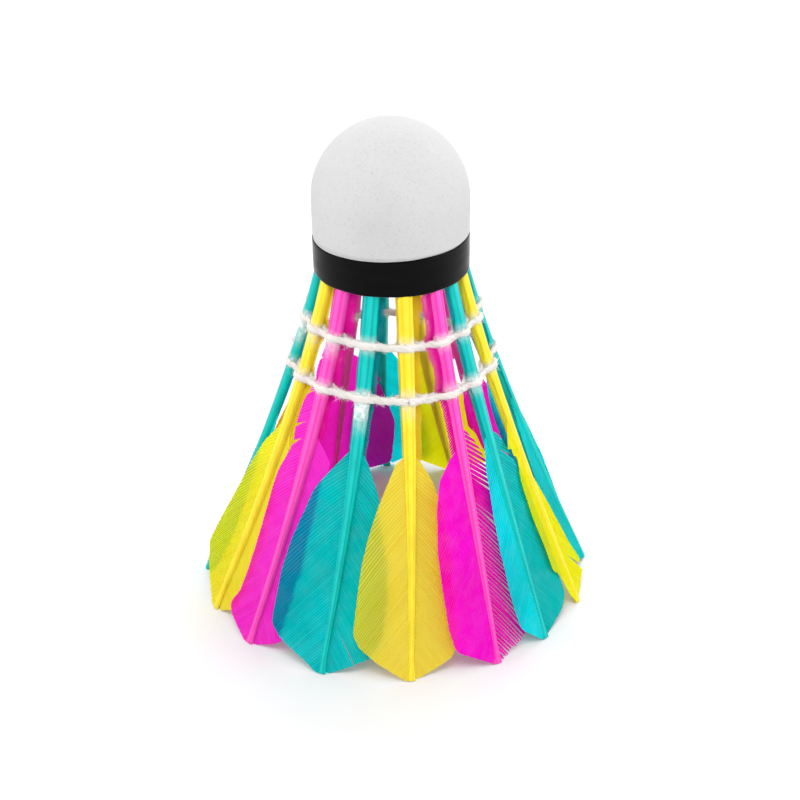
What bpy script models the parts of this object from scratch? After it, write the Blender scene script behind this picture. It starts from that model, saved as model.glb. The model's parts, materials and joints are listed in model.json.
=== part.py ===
"""A feather badminton shuttlecock: foam head, tape band, sixteen feathers and two rows of binding thread.

Metres, +Z up. The shuttlecock stands on the feet of its feathers with the head on top. The resting
plane is Z = 0 and the head's axis is the Z axis. Feather 01 faces -Y, and the count runs
counter-clockwise seen from above. Each feather is a shaft with a vane on either side of it, and the
left vane of each lies over the right vane of the feather before it.
"""

import math
from collections import namedtuple

import bmesh
import bpy
from mathutils import Vector

MM = 0.001

# Head and band. The head's rear face is at SKIRT_HEIGHT.
SKIRT_HEIGHT = 58.0 * MM
HEAD_RADIUS = 12.55 * MM
HEAD_LENGTH = 23.8 * MM
SEAT_RADIUS = 12.25 * MM
BAND_HEIGHT = 5.8 * MM
BAND_OVERHANG = 0.6 * MM
BAND_INNER_RADIUS = 12.35 * MM
BAND_OUTER_RADIUS = 12.6 * MM
BAND_EDGE_GAP = 0.15 * MM
TURNED_STEPS = 48
DOME_STEPS = 9

# Feather shafts. Along a shaft t is 0 at the head's rear face, 1 at the foot and below 0 in the head.
FEATHER_COUNT = 16
ROOT_CIRCLE_RADIUS = 10.9 * MM
TIP_CIRCLE_RADIUS = 33.5 * MM
SHAFT_BOW = 1.15 * MM
FIRST_FEATHER_TURN = math.radians(3.0)
SHAFT_LEAN = math.radians(6.2)
SHAFT_ROOT_RADIUS = 0.95 * MM
SHAFT_TIP_RADIUS = 0.48 * MM
QUILL_END = -0.155
SOCKET_END = -0.162
SOCKET_MOUTH = 0.02
SOCKET_CLEARANCE = 0.25 * MM
SHAFT_POINTS = 9
PAST_FOOT = 1.02

# Vanes.
VANE_START = 0.43
VANE_FOOT = 0.985
VANE_START_WIDTH = 1.0 * MM
VANE_CUT_SLOPE = 8.5
VANE_CORNER_ROUNDING = 0.03
VANE_FULLNESS = 2.1
VANE_CAMBER = 4.0
VANE_STEP = 0.3 * MM
VANE_THICKNESS = 0.3 * MM
VANE_GAP = 0.25 * MM
VANE_CELLS_ACROSS = 3
VANE_CELLS_ALONG = 8

# Binding thread. Each row is two runs that cross between neighbouring shafts.
THREAD_ROWS = {"upper": 0.139, "lower": 0.277}
THREAD_RADIUS = 0.6 * MM
THREAD_GAP = 0.25 * MM
THREAD_SAG = 0.5 * MM
THREAD_POINTS_PER_FEATHER = 4

LEFT = -1
RIGHT = 1
ON_AXIS = 1e-6

Feather = namedtuple("Feather", "turn left_twist right_twist left_width right_width dye")

# How each feather stands: turn away from even spacing and twist of each vane about the shaft in
# degrees, widths of the two vanes in millimetres, and its dye. Feathers are natural, so no two are
# quite alike. The left vanes of feathers 05 and 10 have slipped under the right vanes of their
# neighbours, inside the skirt.
FEATHERS = [
    Feather(0.6, 4.0, 4.0, 8.6, 6.8, "yellow"),
    Feather(3.5, 5.0, 5.0, 7.4, 6.4, "magenta"),
    Feather(-1.0, 3.0, 3.0, 5.2, 7.4, "teal"),
    Feather(-2.7, 0.0, -4.0, 5.0, 7.4, "yellow"),
    Feather(-1.5, -14.0, 6.0, 6.4, 5.4, "teal"),
    Feather(0.5, 4.0, 4.0, 8.0, 6.8, "teal"),
    Feather(1.0, 4.0, 4.0, 8.4, 6.6, "magenta"),
    Feather(-0.5, 4.0, 4.0, 8.2, 7.0, "yellow"),
    Feather(-0.5, 4.0, -8.0, 8.4, 6.4, "teal"),
    Feather(-5.0, -18.0, 4.0, 10.6, 6.8, "magenta"),
    Feather(-1.2, 4.0, 4.0, 8.4, 6.8, "yellow"),
    Feather(-0.8, 4.0, 4.0, 8.4, 6.8, "magenta"),
    Feather(-1.5, -2.0, 4.0, 6.4, 6.6, "teal"),
    Feather(-2.8, 4.0, 4.0, 8.8, 6.0, "yellow"),
    Feather(-4.9, 4.0, 4.0, 6.0, 5.6, "magenta"),
    Feather(-2.0, 4.0, 4.0, 9.2, 7.2, "teal"),
]

VANE_COLOURS = {"teal": (0.0, 0.38, 0.38), "yellow": (0.85, 0.62, 0.04), "magenta": (0.9, 0.01, 0.42)}
SHAFT_COLOURS = {"teal": (0.0, 0.6, 0.52), "yellow": (0.93, 0.75, 0.05), "magenta": (1.0, 0.15, 0.55)}


def clear_scene():
    for obj in list(bpy.data.objects):
        bpy.data.objects.remove(obj, do_unlink=True)


def new_collection(name):
    collection = bpy.data.collections.new(name)
    bpy.context.scene.collection.children.link(collection)
    return collection


def new_material(name, colour, roughness, metallic=0.0):
    material = bpy.data.materials.new(name)
    material.use_nodes = True
    shader = material.node_tree.nodes["Principled BSDF"]
    shader.inputs["Base Color"].default_value = (*colour, 1.0)
    shader.inputs["Roughness"].default_value = roughness
    shader.inputs["Metallic"].default_value = metallic
    return material


def add_object(name, data, collection, material=None, parent=None):
    obj = bpy.data.objects.new(name, data)
    obj.parent = parent
    if material:
        data.materials.append(material)
    collection.objects.link(obj)
    return obj


def shade_round(mesh, sharp_from=35):
    mesh.shade_smooth()
    mesh.set_sharp_from_angle(angle=math.radians(sharp_from))


# ---------------------------------------------------------------- turned pieces


def add_turned(name, profile, closed, collection, material):
    """A solid turned about Z from (radius, height) points that run from top to bottom on the outside."""
    bm = bmesh.new()
    points = [bm.verts.new((radius, 0.0, height)) for radius, height in profile]
    for upper, lower in zip(points, points[1:]):
        bm.edges.new((upper, lower))
    if closed:
        bm.edges.new((points[-1], points[0]))
    mesh = bpy.data.meshes.new(name)
    bm.to_mesh(mesh)
    bm.free()
    obj = add_object(name, mesh, collection, material)
    screw = obj.modifiers.new("Turn", "SCREW")
    screw.steps = screw.render_steps = TURNED_STEPS
    screw.use_merge_vertices = True
    screw.merge_threshold = ON_AXIS
    screw.use_smooth_shade = True
    return obj


def head_profile():
    """Dome, straight side, the low seat that the band is wound on, and the flat rear face."""
    dome_centre = SKIRT_HEIGHT + HEAD_LENGTH - HEAD_RADIUS
    seat_top = SKIRT_HEIGHT + BAND_HEIGHT
    profile = [
        (HEAD_RADIUS * math.sin(angle), dome_centre + HEAD_RADIUS * math.cos(angle))
        for angle in (math.pi / 2 * step / DOME_STEPS for step in range(DOME_STEPS + 1))
    ]
    profile[0] = (0.0, SKIRT_HEIGHT + HEAD_LENGTH)
    profile += [(HEAD_RADIUS, seat_top), (SEAT_RADIUS, seat_top)]
    return profile + [(SEAT_RADIUS, SKIRT_HEIGHT), (0.0, SKIRT_HEIGHT)]


def band_profile():
    """The tape reaches a little past the head's rear face."""
    top = SKIRT_HEIGHT + BAND_HEIGHT - BAND_EDGE_GAP
    bottom = SKIRT_HEIGHT - BAND_OVERHANG
    return [
        (BAND_INNER_RADIUS, top),
        (BAND_OUTER_RADIUS, top),
        (BAND_OUTER_RADIUS, bottom),
        (BAND_INNER_RADIUS, bottom),
    ]


# ---------------------------------------------------------------- feather shafts


def feather_turn(index, t=1.0):
    """Azimuth of a feather, from -Y towards +X, where its shaft passes t."""
    spacing = 2 * math.pi / FEATHER_COUNT
    foot = FIRST_FEATHER_TURN + spacing * index + math.radians(FEATHERS[index].turn)
    return foot + SHAFT_LEAN * (1 - t)


def circle_radius(t):
    """Distance of every shaft's centre line from the axis: the shafts flare more towards the feet."""
    even = ROOT_CIRCLE_RADIUS + (TIP_CIRCLE_RADIUS - ROOT_CIRCLE_RADIUS) * t
    return even - 4 * SHAFT_BOW * t * (1 - t)


def shaft_point(t):
    """Point on a shaft's centre line, in the frame of a feather whose foot faces -Y."""
    turn = SHAFT_LEAN * (1 - t)
    radius = circle_radius(t)
    return Vector((radius * math.sin(turn), -radius * math.cos(turn), SKIRT_HEIGHT * (1 - t)))


def shaft_radius(t):
    """Radius of the shaft: constant in the head, then an even taper to the foot."""
    return SHAFT_ROOT_RADIUS + (SHAFT_TIP_RADIUS - SHAFT_ROOT_RADIUS) * max(t, 0.0)


def shaft_axes(t):
    """Unit vectors at t: sideways towards the next feather, and outwards from the skirt."""
    step = 1e-3
    along = (shaft_point(t + step) - shaft_point(t - step)).normalized()
    turn = SHAFT_LEAN * (1 - t)
    level = Vector((math.cos(turn), math.sin(turn), 0.0))
    outward = level.cross(along).normalized()
    if outward.z < 0:
        outward.negate()
    return outward.cross(along).normalized(), outward


def tube_mesh(name, points, radii, closed=False, bevel_resolution=2):
    """A mesh tube of the given radius at each point, capped unless it is closed on itself."""
    curve = bpy.data.curves.new(name, "CURVE")
    curve.dimensions = "3D"
    curve.bevel_depth = max(radii)
    curve.bevel_resolution = bevel_resolution
    curve.use_fill_caps = not closed
    spline = curve.splines.new("POLY")
    spline.points.add(len(points) - 1)
    spline.use_cyclic_u = closed
    for target, point, radius in zip(spline.points, points, radii):
        target.co = (*point, 1.0)
        target.radius = radius / curve.bevel_depth
    guide = bpy.data.objects.new(name, curve)
    bpy.context.scene.collection.objects.link(guide)
    evaluated = guide.evaluated_get(bpy.context.evaluated_depsgraph_get())
    mesh = bpy.data.meshes.new_from_object(evaluated)
    bpy.data.objects.remove(guide, do_unlink=True)
    bpy.data.curves.remove(curve)
    bm = bmesh.new()
    bm.from_mesh(mesh)
    bmesh.ops.remove_doubles(bm, verts=bm.verts, dist=ON_AXIS)
    bmesh.ops.recalc_face_normals(bm, faces=bm.faces)
    bm.to_mesh(mesh)
    bm.free()
    mesh.name = name
    return mesh


def cut_foot(mesh):
    """Cuts the tube off on the resting plane and closes it with a flat face."""
    bm = bmesh.new()
    bm.from_mesh(mesh)
    everything = bm.verts[:] + bm.edges[:] + bm.faces[:]
    cut = bmesh.ops.bisect_plane(
        bm, geom=everything, plane_co=(0, 0, 0), plane_no=(0, 0, 1), clear_inner=True
    )
    rim = [item for item in cut["geom_cut"] if isinstance(item, bmesh.types.BMEdge)]
    bmesh.ops.edgeloop_fill(bm, edges=rim)
    bmesh.ops.recalc_face_normals(bm, faces=bm.faces)
    bm.to_mesh(mesh)
    bm.free()


def shaft_stations(start, end, count):
    return [start + (end - start) * step / (count - 1) for step in range(count)]


def add_shaft(name, collection, material, parent):
    stations = [QUILL_END] + shaft_stations(0.0, PAST_FOOT, SHAFT_POINTS - 1)
    mesh = tube_mesh(name, [shaft_point(t) for t in stations], [shaft_radius(t) for t in stations])
    cut_foot(mesh)
    shade_round(mesh, sharp_from=50)
    return add_object(name, mesh, collection, material, parent)


def add_socket_cutter(name, collection, parent):
    stations = [SOCKET_END, 0.0, SOCKET_MOUTH]
    radii = [shaft_radius(t) + SOCKET_CLEARANCE for t in stations]
    cutter = add_object(name, tube_mesh(name, [shaft_point(t) for t in stations], radii), collection)
    cutter.parent = parent
    cutter.hide_render = True
    cutter.display_type = "WIRE"
    return cutter


# ---------------------------------------------------------------- vanes


def vane_width(share, full_width):
    """Width of a vane at a share of its length: a rounded shoulder, then nearly straight."""
    rise = 1 - (1 - share) ** VANE_FULLNESS
    return VANE_START_WIDTH + (full_width - VANE_START_WIDTH) * rise


def vane_end(reach, full_width):
    """Where along the shaft a vane ends, at a distance from it: a slanted cut with a round corner."""
    return VANE_FOOT - VANE_CUT_SLOPE * reach - VANE_CORNER_ROUNDING * (reach / full_width) ** 8


def vane_point(side, twist, full_width, across, along):
    """Point of a vane's middle surface: across and along both run from 0 to 1."""
    reach = across * vane_width(along, full_width)
    t = VANE_START + (vane_end(reach, full_width) - VANE_START) * along
    sideways, outward = shaft_axes(t)
    distance = shaft_radius(t) + VANE_GAP + reach
    lift = -side * (VANE_STEP + distance * math.sin(twist)) - VANE_CAMBER * distance**2
    return shaft_point(t) + sideways * side * distance * math.cos(twist) + outward * lift


def add_vane(name, side, feather, collection, material, parent):
    full_width = (feather.left_width if side == LEFT else feather.right_width) * MM
    twist = math.radians(feather.left_twist if side == LEFT else feather.right_twist)
    bm = bmesh.new()
    bmesh.ops.create_grid(bm, x_segments=VANE_CELLS_ACROSS, y_segments=VANE_CELLS_ALONG, size=0.5)
    for vert in bm.verts:
        across, along = vert.co.x + 0.5, vert.co.y + 0.5
        vert.co = vane_point(side, twist, full_width, across, along)
    if side == RIGHT:
        bmesh.ops.reverse_faces(bm, faces=bm.faces)
    mesh = bpy.data.meshes.new(name)
    bm.to_mesh(mesh)
    bm.free()
    shade_round(mesh)
    obj = add_object(name, mesh, collection, material, parent)
    sheet = obj.modifiers.new("Sheet", "SOLIDIFY")
    sheet.thickness = VANE_THICKNESS
    sheet.offset = 0.0
    return obj


# ---------------------------------------------------------------- binding thread


def thread_points(row_t, outside):
    """One run of a row: on one face of every shaft, and crossing the other run between shafts."""
    at_shaft = shaft_radius(row_t) + THREAD_GAP + THREAD_RADIUS
    at_crossing = THREAD_RADIUS + THREAD_GAP / 2
    height = SKIRT_HEIGHT * (1 - row_t)
    points = []
    for index in range(FEATHER_COUNT):
        this_turn = feather_turn(index, row_t)
        next_turn = feather_turn((index + 1) % FEATHER_COUNT, row_t)
        gap_turn = (next_turn - this_turn) % (2 * math.pi)
        for step in range(THREAD_POINTS_PER_FEATHER):
            share = step / THREAD_POINTS_PER_FEATHER
            hold = math.cos(math.pi * share) ** 2
            offset = at_crossing + (at_shaft - at_crossing) * hold
            radius = circle_radius(row_t) + (offset if outside else -offset)
            turn = this_turn + gap_turn * share
            sag = THREAD_SAG * (1 - hold)
            points.append(Vector((radius * math.sin(turn), -radius * math.cos(turn), height - sag)))
    return points


def add_thread(name, row_t, outside, collection, material):
    points = thread_points(row_t, outside)
    radii = [THREAD_RADIUS] * len(points)
    mesh = tube_mesh(name, points, radii, closed=True, bevel_resolution=1)
    shade_round(mesh, sharp_from=70)
    return add_object(name, mesh, collection, material)


# ---------------------------------------------------------------- assembly


def add_head(collection, cutters):
    material = new_material("foam", (0.82, 0.82, 0.81), 0.85)
    head = add_turned("foam_head", head_profile(), False, collection, material)
    bore = head.modifiers.new("Sockets", "BOOLEAN")
    bore.operation = "DIFFERENCE"
    bore.operand_type = "COLLECTION"
    bore.collection = cutters
    bore.solver = "EXACT"


def add_feather(index, collection, cutters, materials):
    feather = FEATHERS[index]
    name = f"feather_{index + 1:02d}"
    holder = add_object(name, None, collection)
    holder.rotation_euler.z = feather_turn(index)
    vane_material = materials[feather.dye, "vane"]
    add_shaft(name + "_shaft", collection, materials[feather.dye, "shaft"], holder)
    add_vane(name + "_vane_left", LEFT, feather, collection, vane_material, holder)
    add_vane(name + "_vane_right", RIGHT, feather, collection, vane_material, holder)
    add_socket_cutter(name + "_socket", cutters, holder)


def feather_materials():
    materials = {}
    for dye, colour in VANE_COLOURS.items():
        materials[dye, "vane"] = new_material(dye + "_vane", colour, 0.6)
        materials[dye, "shaft"] = new_material(dye + "_shaft", SHAFT_COLOURS[dye], 0.35)
    return materials


def main():
    clear_scene()
    shuttlecock = new_collection("Badminton_Shuttlecock")
    cutters = new_collection("Cutters")
    materials = feather_materials()
    for index in range(FEATHER_COUNT):
        add_feather(index, shuttlecock, cutters, materials)
    add_head(shuttlecock, cutters)
    tape = new_material("tape", (0.012, 0.012, 0.013), 0.4)
    add_turned("band_tape", band_profile(), True, shuttlecock, tape)
    thread = new_material("thread", (0.86, 0.83, 0.81), 0.9)
    for row, row_t in THREAD_ROWS.items():
        add_thread(f"thread_{row}_outer", row_t, True, shuttlecock, thread)
        add_thread(f"thread_{row}_inner", row_t, False, shuttlecock, thread)


main()
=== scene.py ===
import json
import math

import bpy
import numpy as np
from mathutils import Matrix, Vector, noise


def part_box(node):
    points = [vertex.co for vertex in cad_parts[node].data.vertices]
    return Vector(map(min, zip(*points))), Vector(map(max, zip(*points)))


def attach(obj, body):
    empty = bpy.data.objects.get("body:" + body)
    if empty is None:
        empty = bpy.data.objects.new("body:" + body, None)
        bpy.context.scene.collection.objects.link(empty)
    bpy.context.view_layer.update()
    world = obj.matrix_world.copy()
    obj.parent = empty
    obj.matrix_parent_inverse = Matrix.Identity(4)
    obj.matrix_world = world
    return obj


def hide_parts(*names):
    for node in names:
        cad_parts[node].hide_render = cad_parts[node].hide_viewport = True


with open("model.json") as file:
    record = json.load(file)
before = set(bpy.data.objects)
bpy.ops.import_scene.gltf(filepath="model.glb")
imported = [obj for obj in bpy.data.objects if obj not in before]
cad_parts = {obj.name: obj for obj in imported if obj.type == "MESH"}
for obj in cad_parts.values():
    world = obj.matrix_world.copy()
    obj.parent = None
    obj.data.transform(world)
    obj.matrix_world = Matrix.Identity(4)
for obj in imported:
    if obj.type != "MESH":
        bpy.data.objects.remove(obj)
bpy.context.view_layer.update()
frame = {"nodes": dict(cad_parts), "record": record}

# The looks of a feather badminton shuttlecock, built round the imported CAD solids. Metres, +Z up.
# Every shaft line is measured from its CAD node. Each vane is then grown barb by barb along it.

MM = 0.001
SEED = 11
FEATHER_COUNT = 16
LEFT, RIGHT = -1, 1
SLOTS = {part["node"]: part["material_slot"] for part in frame["record"]["subparts"]}

# Shafts. Along a shaft t is 0 at the head's rear face and 1 at the foot.
REAR_FACE_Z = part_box("foam_head")[0].z
CAD_MIDDLE_RING = 0.437
SHAFT_LENGTH = 62.5 * MM
# The quill ends here, inside the head.
QUILL_T = -0.1
SHAFT_STATIONS = 72
SHAFT_SIDES = 22
# Half a shaft's width and depth: (t, millimetres).
SHAFT_HALF_WIDTHS = (
    (-0.1, 1.25), (0.0, 1.25), (0.2, 1.2), (0.43, 1.02), (0.55, 0.86), (0.7, 0.7), (0.85, 0.55),
    (0.95, 0.46), (1.0, 0.8),
)
SHAFT_HALF_DEPTHS = ((-0.1, 0.95), (0.0, 0.95), (0.3, 0.92), (0.7, 0.72), (0.95, 0.5), (1.0, 0.4))
# Near the head the shafts stand out this much from a straight line.
ROOT_PUSH = 0.45 * MM
ROOT_PUSH_REACH = 0.35
# A section is a rounded box: sine and cosine raised to this power.
SECTION_POWER = 0.8
# Two fine lines outside and a groove inside, as shares of the half width and half depth.
FINE_LINE_AT = 0.5
FINE_LINE_WIDTH = 0.14
FINE_LINE_DEPTH = 0.09
GROOVE_WIDTH = 0.38
GROOVE_DEPTH = 0.34

# Barbs: their pitch in a closed vane, in a combed one, and that of the stubs on a bare shaft.
BARB_PITCH = 0.6 * MM
COMB_PITCH = 0.8 * MM
STUB_PITCH = 0.43 * MM
# A barb leaves the shaft at this slope, in t per metre outwards. The slope grows towards the foot.
BARB_SLOPES = ((0.45, 12.0), (0.62, 18.5))
# Then it bends further towards the foot, in t per square metre.
BARB_CURL = 240.0
BARB_STATIONS = 15
STUB_STATIONS = 3
STUB_RIDGE = 0.09 * MM
RIDGE_HEIGHT = 0.075 * MM
KEEL_DEPTH = 0.05 * MM
# Left vanes leave the shaft this far outside its centre line, and right vanes this far inside.
VANE_STEP = 0.3 * MM
# Times the square of the reach, this is how far a vane curves inwards.
VANE_CAMBER = 4.0
VANE_START = 0.43
VANE_CORNER = 0.915
# The last barb leaves the shaft before here, because its tip ends lower.
LAST_BARB = 0.986
VANE_WAVE = 0.14 * MM
# Softness of an outline's corners, in t.
OUTLINE_SOFTNESS = 0.007
# Barbs begin inside the shaft, at this share of its half width.
BARB_ROOT = 0.75
STUB_ROOT = 0.7
# Spread of the barbs' pitch, length and, where they stand apart, of their tips.
PITCH_SPREAD = 0.05
LENGTH_SPREAD = 0.003
STRAY_SPREAD = 0.14
# A split moves the barbs beside it, over this many pitches, and lifts one side of it by this much.
SPLIT_PITCHES = 5.0
SPLIT_LIFT = 0.06 * MM
# This is added to the tone of barbs that stand apart, which makes them darker: painted shade on the combed
# barbs.
COMB_PAINTED_SHADE = -2.0

# The tape's upper edge lies this much lower on the -X side.
TAPE_TILT = 0.6 * MM

# Thread.
ROWS = ("upper", "lower")
THREAD_CLEARANCE = 0.1 * MM
YARN_PLIES = 3
YARN_RADIUS = 0.42 * MM
YARN_TWIST_RADIUS = 0.29 * MM
YARN_FLATNESS = 0.6
YARN_PITCH = 4.2 * MM
YARN_SPACING = 0.28 * MM
YARN_SIDES = 7
YARN_ROUGHNESS = 0.035 * MM
# Between two shafts a run crosses the other one, sags, and wanders up and down on its way round.
RUN_CROSSING = 0.28 * MM
RUN_SAG = 0.55 * MM
RUN_WANDER = 0.25 * MM
RUN_PULL = 0.018
STEPS_PER_GAP = 26
FUZZ_PER_RUN = 2200
HAIR_STATIONS = 5
HAIR_SIDES = 3
HAIR_RADIUS = 0.022 * MM

# Glue. Here a thick run of it goes down the shaft: (row, number of the feather).
RUNS_OF_GLUE = {("lower", 16), ("upper", 13)}
RUN_OF_GLUE_LENGTH = 0.11
GLUE_RINGS = 15
GLUE_SIDES = 20

# Head and tape.
HEAD_STEPS = 220
BAND_STEPS = 300
BAND_LAP = math.radians(14)
BAND_START_TURN = math.radians(118)

# Studio.
FLOOR_HALF_SIZE = 40.0
FLOOR_DROP = 0.02 * MM
# Between these distances from the object the floor's painted shade fades to white and its painted glow
# grows.
PAPER_SHADE_ENDS = 0.06
PAPER_WHITE_STARTS = 0.3
# Strength of the surroundings. They are darker towards CAMERA_SIDE, but not near the horizon.
STUDIO_LEVEL = 1.15
CAMERA_SIDE_LEVEL = 0.44
CAMERA_SIDE = (0.0, -0.97, 0.24)
HORIZON_REACH = 0.15
# Lamps: name, place, target, size in metres, power in watts.
LAMPS = (
    ("key", (-0.06, -0.3, 0.6), (0, 0, 0.04), 0.35, 2.0),
    ("left", (-0.5, -0.1, 0.15), (0, 0, 0.05), 0.3, 0.4),
    ("right", (0.5, -0.1, 0.15), (0, 0, 0.05), 0.3, 0.65),
    ("back", (0.1, 0.45, 0.4), (0, 0, 0.03), 0.4, 1.2),
)
CAMERA_PLACE = Vector((0.0, -0.225975, 0.155545))
CAMERA_TARGET = Vector((0.001111, 0.0, 0.032784))
CAMERA_ROLL = -0.0126
CAMERA_LENS = 68.67


# ---- small helpers


def unit(vectors):
    return vectors / np.linalg.norm(vectors, axis=-1, keepdims=True)


def curve_value(table, t):
    xs, ys = zip(*table)
    return np.interp(t, xs, ys)


def new_mesh_object(name, points, faces, material, smooth_under):
    """An object whose edges are smooth where they bend by less than smooth_under, in degrees."""
    mesh = bpy.data.meshes.new(name)
    mesh.from_pydata(points.reshape(-1, 3).tolist(), [], faces)
    mesh.materials.append(material)
    mesh.shade_smooth()
    mesh.set_sharp_from_angle(angle=math.radians(smooth_under))
    obj = bpy.data.objects.new(name, mesh)
    bpy.context.scene.collection.objects.link(obj)
    return obj


def add_attribute(obj, name, values):
    layer = obj.data.attributes.new(name, "FLOAT", "POINT")
    layer.data.foreach_set("value", np.ascontiguousarray(values, np.float32).reshape(-1))


def tube_faces(rings, sides, closed=False, start=0, capped=True):
    """Faces of a tube of rings that run counter-clockwise about its direction."""
    faces = []
    last = rings if closed else rings - 1
    for ring in range(last):
        here, there = start + ring * sides, start + (ring + 1) % rings * sides
        for side in range(sides):
            after = (side + 1) % sides
            faces.append((here + side, here + after, there + after, there + side))
    if capped and not closed:
        faces.append(tuple(start + side for side in reversed(range(sides))))
        faces.append(tuple(start + (rings - 1) * sides + side for side in range(sides)))
    return faces


def swept_rings(path, radius, sides, closed=False):
    """Rings of points round a path, with a frame that doesn't twist."""
    if closed:
        along = unit(np.roll(path, -1, 0) - np.roll(path, 1, 0))
    else:
        along = unit(np.gradient(path, axis=0))
    across = np.zeros_like(path)
    first = np.cross(along[0], (0.0, 0.0, 1.0))
    if np.linalg.norm(first) < 1e-3:
        first = np.cross(along[0], (1.0, 0.0, 0.0))
    across[0] = unit(first)
    for k in range(1, len(path)):
        across[k] = unit(across[k - 1] - along[k] * np.dot(across[k - 1], along[k]))
    up = np.cross(along, across)
    angles = np.arange(sides) * 2 * math.pi / sides
    radius = np.broadcast_to(radius, len(path))[:, None, None]
    ring = across[:, None] * np.cos(angles)[None, :, None] + up[:, None] * np.sin(angles)[None, :, None]
    return path[:, None] + ring * radius


# ---- materials


class Nodes:
    """Short calls to build one material's node tree."""

    def __init__(self, name):
        self.material = bpy.data.materials.new(name)
        self.material.use_nodes = True
        self.tree = self.material.node_tree
        self.tree.nodes.clear()
        self.output = self.tree.nodes.new("ShaderNodeOutputMaterial")

    def add(self, kind, inputs=None, **settings):
        node = self.tree.nodes.new("ShaderNode" + kind)
        for key, value in settings.items():
            setattr(node, key, value)
        for key, value in (inputs or {}).items():
            self.put(node.inputs[key], value)
        return node

    def put(self, socket, value):
        if isinstance(value, bpy.types.NodeSocket):
            self.tree.links.new(value, socket)
        elif isinstance(value, tuple) and len(value) == 3 and socket.type == "RGBA":
            socket.default_value = (*value, 1.0)
        else:
            socket.default_value = value

    def math(self, operation, a, b=0.0, clamp=False):
        node = self.add("Math", {0: a, 1: b}, operation=operation, use_clamp=clamp)
        return node.outputs[0]

    def mix(self, factor, a, b, blend="MIX"):
        node = self.add("Mix", data_type="RGBA", blend_type=blend)
        self.put(node.inputs["Factor"], factor)
        self.put(node.inputs["A"], a)
        self.put(node.inputs["B"], b)
        return node.outputs["Result"]

    def ramp(self, value, low, high, to_low=0.0, to_high=1.0):
        node = self.add("MapRange", {"Value": value, "From Min": low, "From Max": high,
                                     "To Min": to_low, "To Max": to_high}, clamp=True)
        return node.outputs["Result"]

    def attribute(self, name):
        return self.add("Attribute", attribute_name=name).outputs["Fac"]

    def place(self):
        return self.add("TexCoord").outputs["Object"]

    def noise(self, scale, detail, roughness=0.5, stretch=(1, 1, 1)):
        place = self.add("Mapping", {"Vector": self.place(), "Scale": stretch}).outputs[0]
        node = self.add("TexNoise", {"Vector": place, "Scale": scale,
                                     "Detail": detail, "Roughness": roughness})
        return node.outputs["Fac"]

    def bump(self, height, distance, strength):
        return self.add("Bump", {"Height": height, "Distance": distance, "Strength": strength}).outputs[0]

    def principled(self, **inputs):
        return self.add("BsdfPrincipled", {key.replace("_", " "): value for key, value in inputs.items()})

    def blend(self, factor, first, second):
        node = self.add("MixShader", {"Fac": factor})
        self.tree.links.new(first.outputs[0], node.inputs[1])
        self.tree.links.new(second.outputs[0], node.inputs[2])
        return node

    def finish(self, shader):
        self.tree.links.new(shader.outputs[0], self.output.inputs["Surface"])
        return self.material


# Of each dye: fresh and mellow colour of a vane, its painted shade in the grooves between barbs, shaft, and
# the shaft's painted shade in its fine lines and groove.
DYES = {
    "teal": (
        (0.0, 0.93, 0.97), (0.0, 0.72, 0.7), (0.0, 0.25, 0.31),
        (0.0, 0.54, 0.49), (0.0, 0.2, 0.23),
    ),
    "yellow": (
        (0.95, 0.97, 0.0), (0.97, 0.87, 0.12), (0.82, 0.57, 0.02),
        (0.87, 0.74, 0.04), (0.72, 0.44, 0.0),
    ),
    "magenta": (
        (1.0, 0.005, 0.84), (1.0, 0.06, 0.84), (0.75, 0.0, 0.32),
        (0.95, 0.09, 0.52), (0.7, 0.0, 0.2),
    ),
}
# Painted shade where another vane lies behind: how much of its dye tints the grooves between barbs, and the
# barbs.
OVERLAP_SHADE_SHARES = {(dye, under): (0.7, 0.15) for dye in DYES for under in DYES}
OVERLAP_SHADE_SHARES["teal", "magenta"] = (1.0, 0.6)
OVERLAP_SHADE_SHARES["yellow", "teal"] = (0.6, 0.05)


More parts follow.
